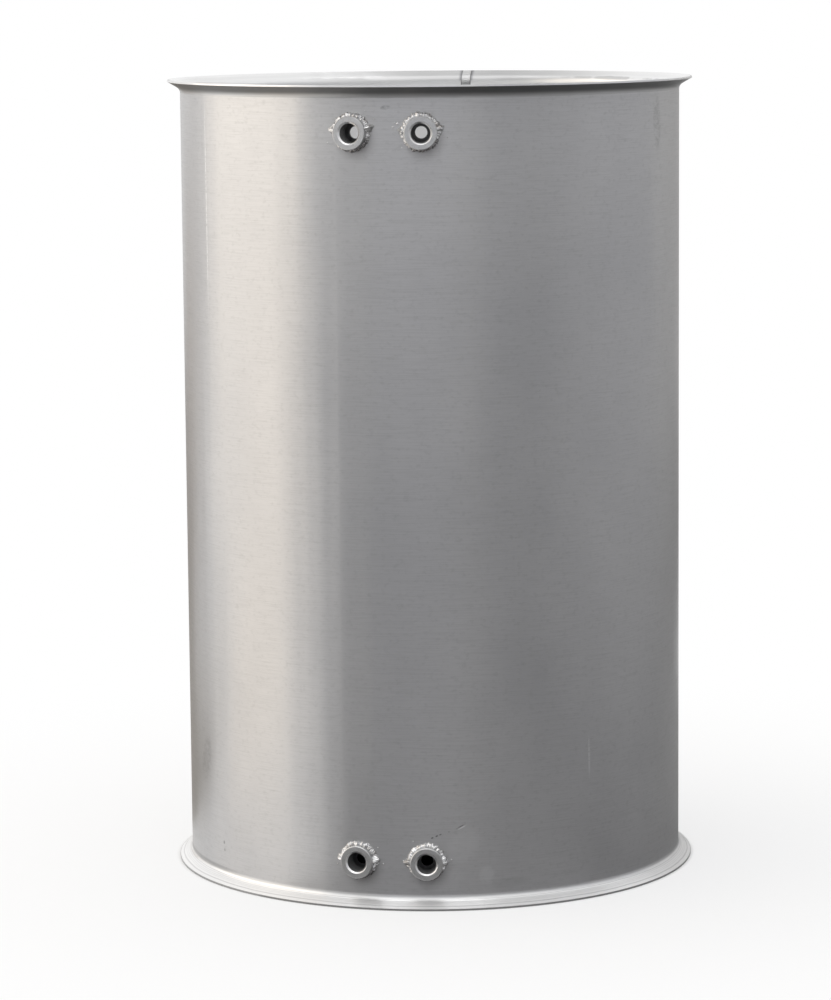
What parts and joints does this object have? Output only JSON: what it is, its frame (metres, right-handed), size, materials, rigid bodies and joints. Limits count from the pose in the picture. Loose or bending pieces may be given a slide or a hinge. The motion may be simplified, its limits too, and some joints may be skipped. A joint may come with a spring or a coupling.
{
  "type": "diesel particulate filter",
  "caption": "Cylindrical stainless exhaust filter module with flared clamp flanges, threaded sensor bosses and a segmented ceramic wall-flow core held in a fibre mat.",
  "frame": {"origin": "centre of the lower flange face", "axes": "+Z along the gas path, from the lower flange to the upper one; the sensor bosses face -Y"},
  "size_m": [0.3624, 0.3622, 0.546],
  "materials": {
    "shell_steel": "satin rolled stainless sheet with fine grain round the shell",
    "seam_metal": "flattened seam weld with faint ripples",
    "boss_steel": "fine turned finish",
    "weld_metal": "bright rippled weld bead",
    "ring_steel": "satin pressed sheet",
    "knitted_wire": "compressed wire knit",
    "mat_fibre": "matted white fibre",
    "filter_ceramic": "matt dark grey carbide with fine square channels",
    "filter_cement": "matt grey cement"
  },
  "bodies": {
    "root": {"shell": "shell_steel", "seam_weld": "seam_metal", "upper_left_boss": "boss_steel", "upper_right_boss": "boss_steel", "lower_left_boss": "boss_steel", "lower_right_boss": "boss_steel", "upper_left_boss_weld": "weld_metal", "upper_right_boss_weld": "weld_metal", "lower_left_boss_weld": "weld_metal", "lower_right_boss_weld": "weld_metal", "upper_retaining_ring": "ring_steel", "lower_retaining_ring": "ring_steel", "upper_ring_tacks": "weld_metal", "lower_ring_tacks": "weld_metal", "upper_edge_seal": "knitted_wire", "lower_edge_seal": "knitted_wire", "support_mat": "mat_fibre", "filter_segments": "filter_ceramic", "segment_cement": "filter_cement", "filter_skin": "filter_cement"}
  },
  "joints": []
}
